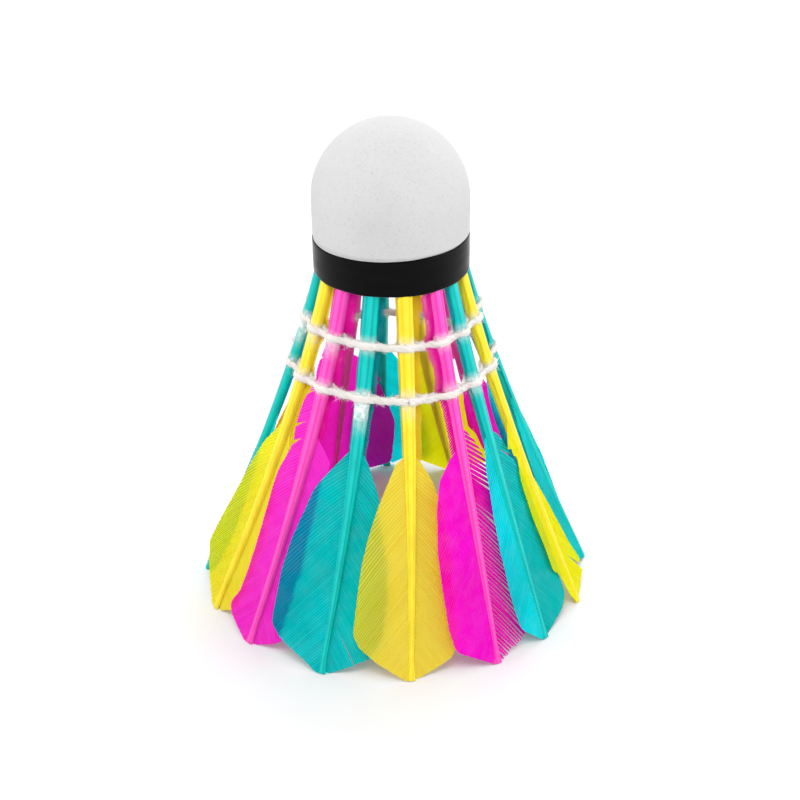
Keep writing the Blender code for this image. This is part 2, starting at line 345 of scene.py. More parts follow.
def vane_material(dye, under):
    """Barbs that light shines through, over a vane of the dye under.

    Each feather's dye is more or less mellow. Grooves between barbs, combed barbs and stubs get painted
    shade. Where another vane lies behind, a painted tint of its dye stands in for the light that comes
    through it.
    """
    fresh, mellow, groove, _, _ = DYES[dye]
    _, under_mellow, under_groove, _, _ = DYES[under]
    overlap_shade_colour = tuple(0.25 + 0.3 * (pale + deep) for pale, deep in zip(under_mellow, under_groove))
    n = Nodes(f"{dye}_barbs_over_{under}")
    # Painted shade: darker in the grooves between barbs (rib), on combed barbs (tone) and on the stubs
    # (stub); tone and noise also vary it at random.
    shade = n.math("ADD", n.ramp(n.attribute("rib"), 0.1, 0.6, 0.38, 0.92),
                   n.ramp(n.attribute("tone"), COMB_PAINTED_SHADE, 1.0, -0.54, 0.12))
    shade = n.math("ADD", shade, n.ramp(n.noise(95.0, 2.0), 0.3, 0.7, -0.1, 0.1), clamp=True)
    shade = n.math("MULTIPLY", shade, n.ramp(n.attribute("stub"), 0.0, 1.0, 1.0, 0.15))
    age = n.math("ADD", n.attribute("mellow"), n.ramp(n.noise(60.0, 2.0), 0.3, 0.7, -0.2, 0.2), clamp=True)
    lit = n.mix(age, fresh, mellow)
    colour = n.mix(shade, groove, lit)
    # Painted shade where another vane lies behind: its dye tints this one, most in the grooves.
    in_groove, on_barb = OVERLAP_SHADE_SHARES[dye, under]
    overlap_shade = n.math("MULTIPLY", n.attribute("behind"),
                    n.ramp(n.attribute("rib"), 0.2, 0.6, in_groove, on_barb))
    colour = n.mix(overlap_shade, colour, overlap_shade_colour, blend="MULTIPLY")
    colour = n.mix(n.ramp(n.noise(420.0, 4.0, 0.6), 0.4, 0.8, 0.0, 0.05), colour, (0.95, 0.95, 0.95))
    surface = n.principled(Base_Color=colour, Roughness=0.6, Specular_IOR_Level=0.08,
                           Normal=n.bump(n.noise(2600.0, 2.0), 0.00002, 0.5))
    glow = n.add("BsdfTranslucent", {"Color": n.mix(shade, n.mix(0.35, lit, groove), lit)})
    return n.finish(n.blend(0.58, surface, glow))


def shaft_material(dye):
    _, _, _, lit, shade = DYES[dye]
    n = Nodes(dye + "_quill")
    pale = tuple(0.7 * c + 0.18 for c in lit)
    streak = n.noise(260.0, 3.0, 0.6, stretch=(3.0, 3.0, 0.16))
    groove = n.attribute("groove")
    colour = n.mix(n.ramp(streak, 0.3, 0.7), tuple(0.82 * c for c in lit), lit)
    # Painted shade in the fine lines and the inner groove.
    colour = n.mix(n.ramp(groove, 0.0, 1.0, 0.0, 0.6), colour, shade)
    # A painted highlight: a paler stripe along the crest of the shaft's outer face.
    colour = n.mix(n.math("MULTIPLY", n.attribute("painted_highlight"), 0.22), colour, pale)
    surface = n.principled(Base_Color=colour, Roughness=0.38, Specular_IOR_Level=0.12,
                           Normal=n.bump(streak, 0.00006, 0.5))
    return n.finish(surface)


def foam_material():
    n = Nodes("eva_foam")
    cells = n.add("TexVoronoi", {"Vector": n.place(), "Scale": 2700.0, "Randomness": 1.0},
                  feature="F1").outputs[0]
    sizes = n.noise(900.0, 3.0, 0.7)
    pores = n.math("MULTIPLY", n.ramp(cells, 0.12, 0.34, 1.0, 0.0), n.ramp(sizes, 0.36, 0.62))
    cloud = n.noise(70.0, 3.0)
    colour = n.mix(n.ramp(cloud, 0.3, 0.7), (0.49, 0.49, 0.495), (0.53, 0.53, 0.53))
    colour = n.mix(n.ramp(n.noise(3000.0, 2.0), 0.4, 0.65, 0.0, 0.3), colour, (0.46, 0.46, 0.47))
    # Painted shade in the pores: they are darker.
    colour = n.mix(n.math("MULTIPLY", pores, 0.5), colour, (0.3, 0.3, 0.31))
    height = n.math("SUBTRACT", n.noise(2400.0, 3.0, 0.6), pores)
    surface = n.principled(Base_Color=colour, Roughness=0.82, Specular_IOR_Level=0.25,
                           Normal=n.bump(height, 0.00006, 0.55))
    return n.finish(surface)


def tape_material():
    n = Nodes("satin_tape")
    smear = n.noise(160.0, 3.0, 0.6, stretch=(1.0, 1.0, 5.0))
    scuff = n.noise(900.0, 4.0, 0.7, stretch=(1.0, 1.0, 0.3))
    colour = n.mix(n.ramp(smear, 0.35, 0.7), (0.0008, 0.0008, 0.001), (0.002, 0.002, 0.0022))
    colour = n.mix(n.ramp(scuff, 0.66, 0.76, 0.0, 0.35), colour, (0.02, 0.02, 0.021))
    surface = n.principled(Base_Color=colour, Roughness=n.ramp(smear, 0.3, 0.75, 0.3, 0.46),
                           Specular_IOR_Level=0.06, Sheen_Weight=0.4, Sheen_Roughness=0.2,
                           Normal=n.bump(scuff, 0.00002, 0.5))
    return n.finish(surface)


def thread_material():
    n = Nodes("cotton_thread")
    fibre = n.noise(3800.0, 3.0, 0.7)
    bright = n.ramp(fibre, 0.3, 0.7)
    colour = n.mix(bright, (0.94, 0.89, 0.84), (0.99, 0.97, 0.95))
    surface = n.principled(Base_Color=colour, Roughness=0.9, Sheen_Weight=0.3, Specular_IOR_Level=0.2,
                           Normal=n.bump(fibre, 0.00005, 0.6))
    glow = n.add("BsdfTranslucent", {"Color": n.mix(bright, (0.9, 0.88, 0.86), (0.95, 0.94, 0.93))})
    return n.finish(n.blend(0.4, surface, glow))


def glue_material():
    n = Nodes("dried_glue")
    grain = n.noise(1500.0, 4.0, 0.65)
    cover = n.math("MULTIPLY", n.attribute("cover"), n.ramp(grain, 0.3, 0.68, 0.35, 1.0), clamp=True)
    surface = n.principled(Base_Color=n.mix(grain, (0.92, 0.93, 0.93), (0.98, 0.98, 0.98)), Roughness=0.3,
                           Specular_IOR_Level=0.5, Normal=n.bump(grain, 0.00008, 0.6))
    return n.finish(n.blend(cover, n.add("BsdfTransparent"), surface))


def floor_material():
    """Studio floor with painted shade near the object and a painted glow further away, so it is whiter away
    from the object.
    """
    n = Nodes("studio_paper")
    away = n.add("VectorMath", {0: n.place()}, operation="LENGTH").outputs["Value"]
    # Painted shade: a darker colour near the object.
    colour = n.mix(n.ramp(away, PAPER_SHADE_ENDS, PAPER_WHITE_STARTS), (0.7, 0.7, 0.705), (0.97, 0.97, 0.97))
    colour = n.mix(n.ramp(n.noise(300.0, 2.0), 0.3, 0.7, 0.0, 0.03), colour, (0.6, 0.6, 0.6))
    # Painted light: further from the object the floor glows, though it is no lamp.
    glow = n.ramp(away, PAPER_SHADE_ENDS, PAPER_WHITE_STARTS, 0.0, 0.2)
    return n.finish(n.principled(Base_Color=colour, Roughness=0.9, Specular_IOR_Level=0.1,
                                 Emission_Color=(1.0, 1.0, 1.0), Emission_Strength=glow))


# ---- shaft lines


def node_points(name):
    vertices = frame["nodes"][name].data.vertices
    points = np.empty(len(vertices) * 3, np.float64)
    vertices.foreach_get("co", points)
    return points.reshape(-1, 3)


class ShaftLine:
    """The centre line of one feather's shaft, measured from its CAD node."""

    def __init__(self, node):
        points = node_points(node)
        foot = self.ring(points, 0.0, 0.1 * MM)
        root = self.ring(points, REAR_FACE_Z, 0.5 * MM)
        middle = self.ring(points, REAR_FACE_Z * (1 - CAD_MIDDLE_RING), 0.6 * MM)
        self.foot_turn = math.atan2(foot[0], -foot[1])
        root_turn = math.atan2(root[0], -root[1])
        self.lean = (root_turn - self.foot_turn + math.pi) % (2 * math.pi) - math.pi
        self.root_radius = np.hypot(*root[:2])
        self.foot_radius = np.hypot(*foot[:2])
        even = self.root_radius + (self.foot_radius - self.root_radius) * CAD_MIDDLE_RING
        self.bow = (even - np.hypot(*middle[:2])) / (4 * CAD_MIDDLE_RING * (1 - CAD_MIDDLE_RING))

    @staticmethod
    def ring(points, height, reach):
        return points[np.abs(points[:, 2] - height) < reach].mean(0)

    def turn(self, t):
        return self.foot_turn + self.lean * (1 - t)

    def radius(self, t):
        even = self.root_radius + (self.foot_radius - self.root_radius) * t
        push = ROOT_PUSH * np.clip(1 - t / ROOT_PUSH_REACH, 0, 1.2) ** 2
        return even - 4 * self.bow * t * (1 - t) + push

    def point(self, t):
        t = np.asarray(t, float)
        turn, radius = self.turn(t), self.radius(t)
        return np.stack([radius * np.sin(turn), -radius * np.cos(turn), REAR_FACE_Z * (1 - t)], -1)

    def axes(self, t):
        """Unit vectors at t: sideways towards the next feather, outwards, and along towards the foot."""
        t = np.asarray(t, float)
        along = unit(self.point(t + 1e-3) - self.point(t - 1e-3))
        turn = self.turn(t)
        level = np.stack([np.cos(turn), np.sin(turn), np.zeros_like(turn)], -1)
        outward = unit(np.cross(along, level))
        return np.cross(outward, along), outward, along


def half_width(t):
    return curve_value(SHAFT_HALF_WIDTHS, t) * MM


def half_depth(t):
    return curve_value(SHAFT_HALF_DEPTHS, t) * MM


def shaft_section(sides):
    """A rounded box of this many points, from -1 to 1."""
    angles = np.arange(sides) * 2 * math.pi / sides
    x, y = np.cos(angles), np.sin(angles)
    return np.sign(x) * np.abs(x) ** SECTION_POWER, np.sign(y) * np.abs(y) ** SECTION_POWER


def shaft_rings(line, t, across, depth):
    """Rings of points round a shaft, from their distances sideways and outwards."""
    sideways, outward, _ = (axis[:, None] for axis in line.axes(t))
    return line.point(t)[:, None] + sideways * across[..., None] + outward * depth[..., None]


# ---- feathers


# Outline of a vane: (t, distance from the shaft's centre line in millimetres).
OUTLINES = {
    "04_left": (
        (0.43, 0.9), (0.455, 1.6), (0.498, 5.8), (0.505, 2.0), (0.53, 4.0), (0.536, 1.5), (0.56, 2.6),
        (0.60, 3.7), (0.71, 4.4), (0.80, 4.3), (0.87, 4.5), (0.885, 3.1), (0.926, 2.4), (0.96, 2.1),
        (1.0, 0.8),
    ),
    "04_right": (
        (0.44, 0.9), (0.60, 1.5), (0.64, 2.3), (0.69, 3.2), (0.77, 4.3), (0.86, 5.3), (0.91, 6.3),
        (0.935, 7.2), (0.952, 6.1), (0.99, 2.6), (1.0, 0.8),
    ),
    "05_right": (
        (0.43, 0.9), (0.47, 2.2), (0.53, 3.6), (0.65, 4.4), (0.85, 4.6), (0.94, 4.4), (0.975, 3.6),
        (1.0, 1.8),
    ),
    "06_left": (
        (0.43, 0.9), (0.50, 4.2), (0.58, 5.4), (0.70, 6.0), (0.80, 5.8), (0.88, 4.8), (0.94, 3.4),
        (1.0, 0.8),
    ),
    "07_right": (
        (0.43, 0.9), (0.57, 1.5), (0.63, 2.4), (0.69, 3.0), (0.74, 3.5), (0.76, 2.4), (0.83, 2.2),
        (0.86, 1.5), (0.93, 1.2), (1.0, 0.8),
    ),
    "10_left": (
        (0.43, 0.9), (0.48, 5.0), (0.60, 7.4), (0.73, 10.2), (0.94, 10.8), (0.97, 8.0), (1.0, 0.8),
    ),
    "13_left": (
        (0.43, 0.9), (0.56, 3.4), (0.66, 4.6), (0.90, 4.6), (0.94, 4.2), (1.0, 0.8),
    ),
    "14_left": (
        (0.40, 0.7), (0.44, 1.4), (0.475, 2.8), (0.52, 4.6), (0.60, 6.3), (0.70, 7.5), (0.81, 9.1),
        (0.89, 10.1), (0.935, 7.9), (0.968, 4.0), (1.0, 0.9),
    ),
    "15_left": (
        (0.15, 1.0), (0.21, 1.6), (0.26, 2.1), (0.30, 2.6), (0.34, 3.1), (0.40, 3.4), (0.45, 3.1),
        (0.49, 3.8), (0.54, 4.8), (0.60, 4.9), (0.75, 4.8), (0.82, 4.9), (0.89, 5.2), (0.935, 6.5),
        (0.96, 5.4), (1.0, 0.8),
    ),
    "15_right": (
        (0.40, 0.9), (0.44, 4.4), (0.50, 4.8), (0.64, 5.7), (0.74, 6.1), (0.87, 6.4), (0.93, 6.6),
        (0.96, 5.2), (1.0, 0.8),
    ),
    "16_left": (
        (0.41, 0.6), (0.423, 1.0), (0.458, 2.8), (0.53, 5.9), (0.60, 7.2), (0.67, 8.5), (0.75, 9.4),
        (0.83, 9.7), (0.905, 9.8), (0.94, 7.8), (0.97, 3.9), (1.0, 0.8),
    ),
    "16_right": (
        (0.41, 0.7), (0.455, 2.2), (0.51, 3.9), (0.56, 5.1), (0.69, 7.4), (0.79, 8.6), (0.89, 8.9),
        (0.925, 7.9), (0.945, 6.6), (1.0, 0.8),
    ),
    "01_left": (
        (0.418, 1.2), (0.44, 2.1), (0.48, 3.2), (0.555, 5.2), (0.625, 6.7), (0.70, 7.9), (0.79, 8.7),
        (0.885, 9.3), (0.915, 8.4), (0.96, 5.0), (1.0, 0.8),
    ),
    "01_right": (
        (0.42, 0.9), (0.44, 1.6), (0.50, 3.8), (0.56, 4.9), (0.70, 6.2), (0.85, 7.0), (0.93, 7.2),
        (0.95, 6.3), (1.0, 0.8),
    ),
    "02_left": (
        (0.42, 0.9), (0.44, 1.9), (0.50, 5.3), (0.57, 6.6), (0.68, 7.7), (0.78, 7.9), (0.88, 8.1),
        (0.94, 7.4), (0.97, 4.0), (1.0, 0.6),
    ),
    "02_right": (
        (0.37, 0.9), (0.43, 3.4), (0.50, 5.0), (0.60, 5.6), (0.75, 6.4), (0.92, 6.9), (0.955, 6.2),
        (1.0, 0.5),
    ),
    "03_left": (
        (0.42, 0.8), (0.448, 1.7), (0.483, 2.3), (0.512, 2.9), (0.56, 3.3), (0.62, 4.0), (0.714, 4.8),
        (0.84, 5.3), (0.90, 5.2), (0.945, 4.9), (1.0, 0.8),
    ),
    "03_right": (
        (0.41, 0.9), (0.45, 3.0), (0.50, 4.6), (0.57, 5.9), (0.75, 7.6), (0.93, 8.7), (0.96, 6.8),
        (1.0, 0.8),
    ),
}
# Where barbs stand apart: (t, share of the pitch that each barb fills).
COMBS = {
    "02_right": (
        (0.37, 0.86), (0.48, 0.88), (0.50, 0.98), (0.55, 0.98), (0.57, 0.86), (0.78, 0.9), (1.0, 0.84),
    ),
}
# Splits: (t where one leaves the shaft, share of the barb where it opens, width in millimetres).
SPLITS = {
    "02_right": ((0.575, 0.15, 0.7), (0.735, 0.2, 1.0), (0.775, 0.05, 0.8), (0.50, 0.3, 0.5)),
    "03_right": ((0.455, 0.3, 0.5),),
    "04_right": ((0.823, 0.45, 1.3),),
    "10_left": ((0.43, 0.2, 1.0), (0.47, 0.3, 0.8)),
    "15_left": ((0.19, 0.3, 0.5), (0.27, 0.3, 0.5), (0.36, 0.3, 0.6), (0.41, 0.3, 0.8)),
    "16_right": ((0.865, 0.05, 0.25),),
}
# Feathers whose left vane is tucked inside the next right vane. All others lie outside it.
TUCKED = {5, 10}
# The painted shade of a vane's edge on the next one fades this softly. Further from its shaft a vane begins
# lower, by BEHIND_DROP in t per metre.
BEHIND_SOFTNESS = 0.15 * MM
BEHIND_DROP = 14.0
# Vanes that show nothing but their own splits.
WHOLE = {"01_left", "01_right", "02_left", "03_left", "04_left", "14_left", "14_right", "16_left"}
# How mellow the dye of a feather or vane came out, from 0 to 1, where it isn't drawn at random.
MELLOW = {
    "01": 1.0, "02": 0.0, "03_left": 0.0, "03_right": 1.0, "04": 0.0, "08": 0.1, "10": 1.0,
    "14_left": 0.25, "14_right": 0.6, "15": 1.0, "16": 0.75,
}
# Twist of (left, right) vane about the shaft in degrees, where it isn't TWIST.
TWIST = 4.0
TWISTS = {
    2: (5.0, 5.0), 3: (3.0, 3.0), 4: (0.0, -4.0), 5: (-14.0, 6.0), 9: (4.0, -8.0), 10: (-18.0, 4.0),
    13: (-2.0, 4.0),
}
# How far the trimmed stubs on the bare shaft stand out beyond its (left, right) side, in millimetres.
STUBS = {
    1: (0.3, 1.4), 2: (1.7, 0.4), 3: (0.3, 0.8), 4: (0.2, 0.3), 14: (0.3, 0.9), 15: (0.3, 1.6),
    16: (0.2, 0.9),
}
STUB_DEFAULT = (0.4, 0.8)
# Under a row of thread the barbs are pressed in towards the skirt's middle.
PRESS_DEPTH = 0.35 * MM
PRESS_SLOPE = 0.2
PRESS_REACH = 0.028


def even_outline(width):
    """Outline of an unseen vane: a rounded shoulder, a nearly straight edge and a slanted foot."""
    outline = [(VANE_START, 0.9)]
    for share in np.linspace(0.08, 1.0, 8):
        t = VANE_START + (VANE_CORNER - VANE_START) * share
        outline.append((t, 0.9 + (width - 0.9) * (1 - (1 - share) ** 2.1)))
    outline.append((VANE_CORNER + 0.02, width * 0.93))
    return tuple(outline) + ((1.0, 0.8),)


def cad_width(line, node):
    """How far a CAD vane reaches from the centre line of its shaft, in millimetres."""
    centre = line.point(np.linspace(VANE_START, 1.0, 120))
    away = np.linalg.norm(node_points(node)[:, None] - centre[None], axis=-1)
    return away.min(1).max() / MM


def vane_points(line, side, twist, t, reach, lift):
    """Points of a vane at t and at a distance from the shaft's centre line, raised by lift."""
    sideways, outward, _ = line.axes(t)
    raised = -side * (VANE_STEP + reach * math.sin(twist)) - VANE_CAMBER * reach**2 + lift
    for row in ROWS:
        near = np.exp(-(((t - row_t(row)) / PRESS_REACH) ** 2))
        raised = raised - (PRESS_DEPTH + PRESS_SLOPE * reach) * near
    across = side * reach * math.cos(twist)
    return line.point(t) + sideways * across[..., None] + outward * raised[..., None]


def rounded(outline):
    """The outline as a dense table with its corners rounded."""
    xs, ys = (list(column) for column in zip(*outline))
    fall = (ys[-1] - ys[-2]) / (xs[-1] - xs[-2])
    xs.append(xs[-1] + 0.1)
    ys.append(ys[-1] + 0.1 * fall)
    t = np.linspace(xs[0] - 0.03, 1.03, 900)
    width = np.interp(t, xs, ys)
    reach = int(3 * OUTLINE_SOFTNESS / (t[1] - t[0]))
    kernel = np.exp(-0.5 * (np.arange(-reach, reach + 1) * (t[1] - t[0]) / OUTLINE_SOFTNESS) ** 2)
    width = np.convolve(np.pad(width, reach, mode="edge"), kernel / kernel.sum(), mode="valid")
    return tuple(zip(t, width))


def barb_run(start, reach):
    """Where along the shaft a barb that leaves it at start has got to at this reach."""
    return start + curve_value(BARB_SLOPES, start) * reach + BARB_CURL * reach**2


def barb_reaches(starts, outline):
    """How far each barb runs before it meets the vane's outline."""
    reach = np.arange(0.0, 13.0, 0.04) * MM
    t = barb_run(starts[:, None], reach)
    inside = reach < curve_value(outline, t) * MM
    return reach[np.argmin(inside, axis=1)]


def barb_faces(count, stations, side):
    """Faces of barbs with four edges, turned the right way out on either side of a shaft."""
    faces = []
    for barb in range(count):
        faces += tube_faces(stations, 4, start=barb * stations * 4)
    if side == LEFT:
        faces = [face[::-1] for face in faces]
    return faces


def grow_vane(line, key, side, twist, outline, rng):
    """Points, faces and attributes of the barbs on one side of a shaft. Neighbours share their edges."""
    pitch = (COMB_PITCH if key in COMBS else BARB_PITCH) / SHAFT_LENGTH
    bounds = np.arange(outline[0][0], LAST_BARB, pitch)
    bounds = bounds + rng.normal(0, PITCH_SPREAD, len(bounds)) * pitch
    root = half_width(bounds) * BARB_ROOT
    reaches = barb_reaches(bounds, rounded(outline)) * (1 + rng.normal(0, LENGTH_SPREAD, len(bounds)))
    reaches = np.maximum(reaches, root + 0.05 * MM)
    share = np.linspace(0, 1, BARB_STATIONS)[None, :]
    # Both edges of every barb, as (barb, edge, station).
    start = np.stack([bounds[:-1], bounds[1:]], 1)[:, :, None]
    inner = np.stack([root[:-1], root[1:]], 1)[:, :, None]
    outer = np.stack([reaches[:-1], reaches[1:]], 1)[:, :, None]
    count = len(bounds) - 1
    reach = inner + (outer - inner) * share[:, None]
    t = barb_run(start, reach)
    lift = VANE_WAVE * np.sin(start * 19 + rng.uniform(0, 2 * math.pi)) * (reach / (8 * MM)) ** 1.5
    middle_start = start.mean(1, keepdims=True)
    splits = list(SPLITS.get(key, ()))
    for _ in range(0 if key in WHOLE else rng.integers(0, 3)):
        splits.append((rng.uniform(0.5, 0.9), rng.uniform(0.5, 0.85), rng.uniform(0.04, 0.14)))
    for at, opens, gap in splits:
        spread = np.clip((share[:, None] - opens) / (1 - opens), 0, 1) ** 1.3
        away = middle_start - at
        near = np.exp(-np.abs(start - at) / (SPLIT_PITCHES * pitch))
        t = t + np.sign(away) * near * gap * MM / SHAFT_LENGTH / 2 * spread
        lift = lift + np.sign(away) * near * SPLIT_LIFT * spread
    fill = curve_value(COMBS.get(key, ((0, 1.0), (1, 1.0))), middle_start)
    loose = fill < 0.95
    thin = np.where(loose, fill * np.sqrt(np.clip(1.05 - 0.75 * share[:, None] ** 2, 0, 1)), 1.0)
    centre_t, centre_reach = t.mean(1, keepdims=True), reach.mean(1, keepdims=True)
    centre_lift = lift.mean(1, keepdims=True)
    stray = np.where(loose, rng.normal(0, STRAY_SPREAD, (count, 1, 1)) * pitch * share[:, None] ** 1.5, 0)
    t = centre_t + (t - centre_t) * thin + stray
    centre_t = centre_t + stray
    reach = centre_reach + (reach - centre_reach) * thin
    edges = vane_points(line, side, twist, t, reach, lift)
    middle = vane_points(line, side, twist, centre_t, centre_reach, centre_lift)[:, 0]
    outward = line.axes(centre_t[:, 0])[1]
    height = rng.uniform(0.85, 1.15, (count, 1, 1))
    ridge = middle + outward * RIDGE_HEIGHT * height
    keel = middle - outward * KEEL_DEPTH
    points = np.stack([edges[:, 0], ridge, edges[:, 1], keel], axis=2)
    # rib is 0 at a barb's edges, which get painted shade as the grooves between barbs, and 1 at its ridge
    # and keel.
    rib = np.broadcast_to(np.array([0.0, 1.0, 0.0, 1.0]), points.shape[:3])
    # Random tone, lowered by COMB_PAINTED_SHADE on combed barbs as painted shade.
    tone = np.broadcast_to(rng.uniform(0, 1, (count, 1, 1)) + COMB_PAINTED_SHADE * (key in COMBS), points.shape[:3])
    faces = barb_faces(count, BARB_STATIONS, side)
    return points.reshape(-1, 3), faces, rib.reshape(-1), tone.reshape(-1)


def grow_stubs(line, side, beyond, until, rng):
    """The short trimmed ends of barbs that stay on the bare part of a shaft."""
    pitch = STUB_PITCH / SHAFT_LENGTH
    starts = np.arange(0.0, until + 0.01, pitch)
    root = half_width(starts) * STUB_ROOT
    fade = np.interp(starts, (0, 0.25, until), (1.0, 0.75, 0.6))
    drift = np.array([noise.noise(Vector((t * 16, beyond * 9.1, line.foot_turn * 3))) for t in starts])
    tips = half_width(starts) + beyond * MM * fade * (1 + 0.35 * drift) * rng.uniform(0.9, 1.06, len(starts))
    share = np.linspace(0, 1, STUB_STATIONS)[None, :]
    reach = root[:, None] + (tips - root)[:, None] * share
    t = starts[:, None] + BARB_SLOPES[0][1] * (reach - root[:, None])
    half = np.broadcast_to(0.5 * pitch * np.array([[1.0, 1.0, 0.75]]), t.shape)
    flat = math.radians(2.0)
    lift = np.zeros_like(t)
    left = vane_points(line, side, flat, t - half, reach, lift)
    right = vane_points(line, side, flat, t + half, reach, lift)
    middle = vane_points(line, side, flat, t, reach, lift)
    outward = line.axes(t)[1]
    points = np.stack([left, middle + outward * STUB_RIDGE, right, middle - outward * STUB_RIDGE], axis=2)
    rib = np.broadcast_to(np.array([0.0, 0.5, 0.0, 0.5]), points.shape[:3])
    tone = np.broadcast_to(rng.uniform(0, 0.4, (len(starts), 1, 1)), points.shape[:3])
    faces = barb_faces(len(starts), STUB_STATIONS, side)
    return points.reshape(-1, 3), faces, rib.reshape(-1), tone.reshape(-1)


def joined(parts):
    """One set of points, faces and attributes from several."""
    points, faces, ribs, tones, start = [], [], [], [], 0
    for part_points, part_faces, rib, tone in parts:
        points.append(part_points)
        ribs.append(rib)
        tones.append(tone)
        faces += [tuple(start + corner for corner in face) for face in part_faces]
        start += len(part_points)
    return np.concatenate(points), faces, np.concatenate(ribs), np.concatenate(tones)


def dye_of(number):
    return SLOTS[f"feather_{number:02d}_shaft"].split("_")[0]


def vane_names(number, side):
    """The vane's key in the tables above, and its CAD node."""
    side_name = "left" if side == LEFT else "right"
    return f"{number:02d}_{side_name}", f"feather_{number:02d}_vane_{side_name}"


def vane_outline(lines, number, side):
    key, node = vane_names(number, side)
    return OUTLINES.get(key) or even_outline(cad_width(lines[number - 1], node))


def covered_vane(number, side):
    """The number of the feather whose vane lies behind this one, or None if this one lies behind."""
    other = (number + side - 1) % FEATHER_COUNT + 1
    left = number if side == LEFT else other
    return other if (side == LEFT) != (left in TUCKED) else None


def behind_share(points, lines, number, side):
    """How far into the shadow of the vane behind it each point lies, from 0 to 1."""
    other = covered_vane(number, side)
    if other is None or vane_names(other, -side)[0] in COMBS:
        return np.zeros(len(points))
    line = lines[other - 1]
    t = 1 - points[:, 2] / REAR_FACE_Z
    sideways = line.axes(t)[0]
    reach = ((points - line.point(t)) * sideways).sum(-1) * -side
    edge = curve_value(rounded(vane_outline(lines, other, -side)), t) * MM
    edge = np.where(t > VANE_START + BEHIND_DROP * edge, edge, 0)
    return np.clip((edge - reach) / BEHIND_SOFTNESS + 0.5, 0, 1)


def add_vane(lines, number, side, rng):
    line = lines[number - 1]
    key, node = vane_names(number, side)
    column = 0 if side == LEFT else 1
    twist = math.radians(TWISTS.get(number, (TWIST, TWIST))[column])
    outline = vane_outline(lines, number, side)
    beyond = STUBS.get(number, STUB_DEFAULT)[column]
    vane = grow_vane(line, key, side, twist, outline, rng)
    stubs = grow_stubs(line, side, beyond, outline[0][0], rng)
    points, faces, rib, tone = joined([vane, stubs])
    # stub marks the trimmed stubs, which get painted shade.
    stub = np.arange(len(points)) >= len(vane[0])
    dye = dye_of(number)
    under = dye_of(covered_vane(number, side) or number)
    obj = new_mesh_object(node + "_barbs", points, faces, MATERIALS[dye, under], smooth_under=60)
    # behind: where the painted shade of the vane behind falls.
    add_attribute(obj, "behind", behind_share(points, lines, number, side))
    add_attribute(obj, "rib", rib)
    add_attribute(obj, "tone", tone)
    add_attribute(obj, "stub", stub)
    mellow = MELLOW.get(key, MELLOW.get(key[:2], rng.uniform(0, 0.8)))
    add_attribute(obj, "mellow", np.full(len(points), mellow))
    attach(obj, "root")
    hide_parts(node)


def add_shaft(line, number):
    """A quill: wide and rounded, with two fine lines along its outer face and a groove inside."""
    node = f"feather_{number:02d}_shaft"
    t = np.linspace(QUILL_T, 1.0, SHAFT_STATIONS)
    x, y = shaft_section(SHAFT_SIDES)
    right_line = np.exp(-((x - FINE_LINE_AT) / FINE_LINE_WIDTH) ** 2)
    left_line = np.exp(-((x + FINE_LINE_AT) / FINE_LINE_WIDTH) ** 2)
    line_dip = FINE_LINE_DEPTH * (right_line + left_line) * (y > 0)
    inner_dip = GROOVE_DEPTH * np.exp(-((x / GROOVE_WIDTH) ** 2)) * (y < 0)
    vane_part = np.clip((t - 0.3) / 0.2, 0, 1)[:, None]
    depth_share = y[None, :] - line_dip[None, :] * (0.5 + 0.5 * vane_part) + inner_dip[None, :] * vane_part
    across = half_width(t)[:, None] * x[None, :]
    depth = half_depth(t)[:, None] * depth_share
    jitter = np.array([noise.noise(Vector((number * 5.0, step * 0.35, 0.0))) for step in range(len(t))])
    across = across * (1 + 0.025 * jitter[:, None])
    points = shaft_rings(line, t, across, depth)
    # The ring runs counter-clockwise about -along, so the faces are turned round.
    faces = [face[::-1] for face in tube_faces(len(t), SHAFT_SIDES)]
    material = MATERIALS[dye_of(number), "shaft"]
    obj = new_mesh_object(node + "_quill", points, faces, material, smooth_under=55)
    # groove: where the fine lines and the inner groove get painted shade.
    groove = np.broadcast_to((line_dip / FINE_LINE_DEPTH + inner_dip * 2)[None, :], points.shape[:2])
    # Where the painted highlight lies along the outer face.
    painted_highlight = np.exp(-((x - 0.12) / 0.2) ** 2) * (y > 0) * 0.5
    add_attribute(obj, "groove", groove)
    add_attribute(obj, "painted_highlight", np.broadcast_to(painted_highlight[None, :], points.shape[:2]))
    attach(obj, "root")
    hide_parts(node)


# ---- binding thread


def row_t(row):
    """Where a row of thread crosses the shafts, from its CAD node."""
    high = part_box(f"thread_{row}_outer")[1]
    return 1 - (high.z - 0.6 * MM) / REAR_FACE_Z


def run_path(lines, t, outside):
    """Centre of one run of thread: over one face of every shaft, crossing the other run between them."""
    path = []
    hold_at = float(half_depth(t)) + THREAD_CLEARANCE + YARN_TWIST_RADIUS * YARN_FLATNESS
    for index, line in enumerate(lines):
        after = lines[(index + 1) % len(lines)]
        turn = line.turn(t)
        gap = (after.turn(t) - turn) % (2 * math.pi)
        for step in range(STEPS_PER_GAP):
            share = step / STEPS_PER_GAP
            hold = math.cos(math.pi * share) ** 2
            cross = RUN_CROSSING * math.cos(2 * math.pi * share * 2)
            offset = (hold_at * hold**0.8 + cross * (1 - hold)) * (1 if outside else -1)
            radius = line.radius(t) * (1 - share) + after.radius(t) * share
            radius = radius * (1 - RUN_PULL * (1 - hold)) + offset
            angle = turn + gap * share
            sag = RUN_SAG * (1 - hold) + RUN_WANDER * math.sin(angle * 3.0 + (0 if outside else 1.3))
            height = REAR_FACE_Z * (1 - t) - sag
            path.append((radius * math.sin(angle), -radius * math.cos(angle), height))
    return np.array(path)


